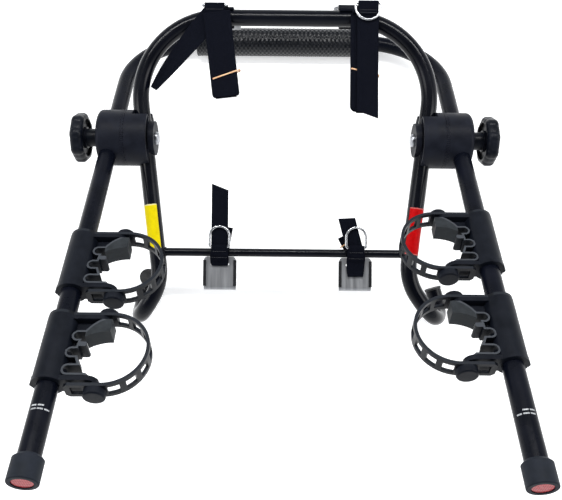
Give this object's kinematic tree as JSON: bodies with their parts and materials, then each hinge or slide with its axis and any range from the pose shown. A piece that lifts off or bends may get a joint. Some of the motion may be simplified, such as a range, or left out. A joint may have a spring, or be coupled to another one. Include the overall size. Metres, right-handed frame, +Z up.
{
  "type": "trunk mounted bike rack",
  "caption": "Folding trunk bike rack: hinged tube frames with toothed clamp hubs and knobs, a foam bar, hooked feet, swivelling cradles with ladder straps, and webbing straps with hooks.",
  "frame": {"origin": "middle of the bounding box in X and Y at the level the rack lies on", "axes": "+X across the rack, +Y from the arm ends towards the foam bar, +Z up, away from the car"},
  "size_m": [0.6342, 0.7624, 0.3713],
  "materials": {
    "gloss_black_paint": "gloss",
    "satin_black_paint": "satin",
    "hub_plastic": "matte",
    "knob_plastic": "semi gloss",
    "zinc_steel": "satin",
    "cap_rubber": "matte",
    "red_reflector": "gloss",
    "foam": "matte",
    "cradle_plastic": "matte",
    "soft_rubber": "matte",
    "strap_rubber": "matte",
    "webbing": "woven",
    "chrome_wire": "polished",
    "hook_steel": "satin",
    "vinyl_edge": "semi gloss",
    "tan_rubber": "matte"
  },
  "bodies": {
    "vehicle_frame": {"vehicle_frame_tube": "gloss_black_paint", "cross_bar": "gloss_black_paint", "foot_plugs": "cap_rubber", "inner_hub_left": "hub_plastic", "inner_hub_right": "hub_plastic", "pressure_discs": "hub_plastic", "pivot_bolts": "zinc_steel"},
    "arm_frame": {"arm_frame_tube": "satin_black_paint", "foam_sleeve": "foam", "end_cap_left": "cap_rubber", "end_cap_right": "cap_rubber", "end_reflectors": "red_reflector", "outer_hub_left": "hub_plastic", "outer_hub_right": "hub_plastic", "hub_springs": "zinc_steel"},
    "knob_left": {"hand_knob_left": "knob_plastic", "knob_insert_left": "zinc_steel"},
    "knob_right": {"hand_knob_right": "knob_plastic", "knob_insert_right": "zinc_steel"},
    "cradle_left_upper": {"cradle_body_left_upper": "cradle_plastic", "saddle_left_upper": "soft_rubber", "strap_pad_left_upper": "soft_rubber", "strap_root_left_upper": "strap_rubber", "top_button_left_upper": "cradle_plastic"},
    "strap_left_upper": {"ladder_strap_left_upper": "strap_rubber"},
    "cradle_left_lower": {"cradle_body_left_lower": "cradle_plastic", "saddle_left_lower": "soft_rubber", "strap_pad_left_lower": "soft_rubber", "strap_root_left_lower": "strap_rubber", "top_button_left_lower": "cradle_plastic"},
    "strap_left_lower": {"ladder_strap_left_lower": "strap_rubber"},
    "cradle_right_upper": {"cradle_body_right_upper": "cradle_plastic", "saddle_right_upper": "soft_rubber", "strap_pad_right_upper": "soft_rubber", "strap_root_right_upper": "strap_rubber", "top_button_right_upper": "cradle_plastic"},
    "strap_right_upper": {"ladder_strap_right_upper": "strap_rubber"},
    "cradle_right_lower": {"cradle_body_right_lower": "cradle_plastic", "saddle_right_lower": "soft_rubber", "strap_pad_right_lower": "soft_rubber", "strap_root_right_lower": "strap_rubber", "top_button_right_lower": "cradle_plastic"},
    "strap_right_lower": {"ladder_strap_right_lower": "strap_rubber"},
    "webbing_strap_top_left": {"webbing_top_left": "webbing", "d_ring_top_left": "chrome_wire", "hook_top_left": "hook_steel", "rubber_band_top_left": "tan_rubber"},
    "webbing_strap_top_right": {"webbing_top_right": "webbing", "d_ring_top_right": "chrome_wire", "hook_top_right": "hook_steel", "rubber_band_top_right": "tan_rubber"},
    "webbing_strap_lower_left": {"webbing_lower_left": "webbing", "d_ring_lower_left": "chrome_wire", "hook_lower_left": "hook_steel", "hook_edging_lower_left": "vinyl_edge"},
    "webbing_strap_lower_right": {"webbing_lower_right": "webbing", "d_ring_lower_right": "chrome_wire", "hook_lower_right": "hook_steel", "hook_edging_lower_right": "vinyl_edge", "rubber_band_lower_right": "tan_rubber"}
  },
  "joints": [
    {"name": "arm_fold", "type": "hinge", "parent": "vehicle_frame", "child": "arm_frame", "pos_m": [0, 0.11694, 0.13272], "axis": [-1, 0, 0], "range_deg": [-30, 75]},
    {"name": "left_knob_turn", "type": "hinge", "parent": "vehicle_frame", "child": "knob_left", "pos_m": [-0.3076, 0.11694, 0.13272], "axis": [-1, 0, 0], "continuous": true},
    {"name": "right_knob_turn", "type": "hinge", "parent": "vehicle_frame", "child": "knob_right", "pos_m": [0.3076, 0.11694, 0.13272], "axis": [1, 0, 0], "continuous": true},
    {"name": "left_upper_swivel", "type": "hinge", "parent": "arm_frame", "child": "cradle_left_upper", "pos_m": [-0.262, -0.11154, 0.23665], "axis": [0, -0.9103, 0.414], "range_deg": [0, 90]},
    {"name": "left_upper_strap_open", "type": "hinge", "parent": "cradle_left_upper", "child": "strap_left_upper", "pos_m": [-0.202, -0.07149, 0.21843], "axis": [0, 0.414, 0.9103], "range_deg": [0, 60], "deforming": ["ladder_strap_left_upper"]},
    {"name": "left_lower_swivel", "type": "hinge", "parent": "arm_frame", "child": "cradle_left_lower", "pos_m": [-0.262, -0.22987, 0.29047], "axis": [0, -0.9103, 0.414], "range_deg": [0, 90]},
    {"name": "left_lower_strap_open", "type": "hinge", "parent": "cradle_left_lower", "child": "strap_left_lower", "pos_m": [-0.202, -0.18982, 0.27225], "axis": [0, 0.414, 0.9103], "range_deg": [0, 60], "deforming": ["ladder_strap_left_lower"]},
    {"name": "right_upper_swivel", "type": "hinge", "parent": "arm_frame", "child": "cradle_right_upper", "pos_m": [0.262, -0.07331, 0.21926], "axis": [0, 0.9103, -0.414], "range_deg": [0, 90]},
    {"name": "right_upper_strap_open", "type": "hinge", "parent": "cradle_right_upper", "child": "strap_right_upper", "pos_m": [0.202, -0.03326, 0.20104], "axis": [0, -0.414, -0.9103], "range_deg": [0, 60], "deforming": ["ladder_strap_right_upper"]},
    {"name": "right_lower_swivel", "type": "hinge", "parent": "arm_frame", "child": "cradle_right_lower", "pos_m": [0.262, -0.20074, 0.27722], "axis": [0, 0.9103, -0.414], "range_deg": [0, 90]},
    {"name": "right_lower_strap_open", "type": "hinge", "parent": "cradle_right_lower", "child": "strap_right_lower", "pos_m": [0.202, -0.16069, 0.259], "axis": [0, -0.414, -0.9103], "range_deg": [0, 60], "deforming": ["ladder_strap_right_lower"]},
    {"name": "top_left_strap_swing", "type": "hinge", "parent": "vehicle_frame", "child": "webbing_strap_top_left", "pos_m": [-0.107, 0.29517, 0.18229], "axis": [1, 0, 0], "range_deg": [-25, 80], "deforming": ["webbing_top_left"]},
    {"name": "top_right_strap_swing", "type": "hinge", "parent": "vehicle_frame", "child": "webbing_strap_top_right", "pos_m": [0.122, 0.29517, 0.18229], "axis": [1, 0, 0], "range_deg": [-25, 80], "deforming": ["webbing_top_right"]},
    {"name": "lower_left_strap_swing", "type": "hinge", "parent": "vehicle_frame", "child": "webbing_strap_lower_left", "pos_m": [-0.096, -0.04877, 0.08664], "axis": [1, 0, 0], "range_deg": [-30, 30]},
    {"name": "lower_right_strap_swing", "type": "hinge", "parent": "vehicle_frame", "child": "webbing_strap_lower_right", "pos_m": [0.108, -0.04877, 0.08664], "axis": [1, 0, 0], "range_deg": [-30, 30]}
  ]
}
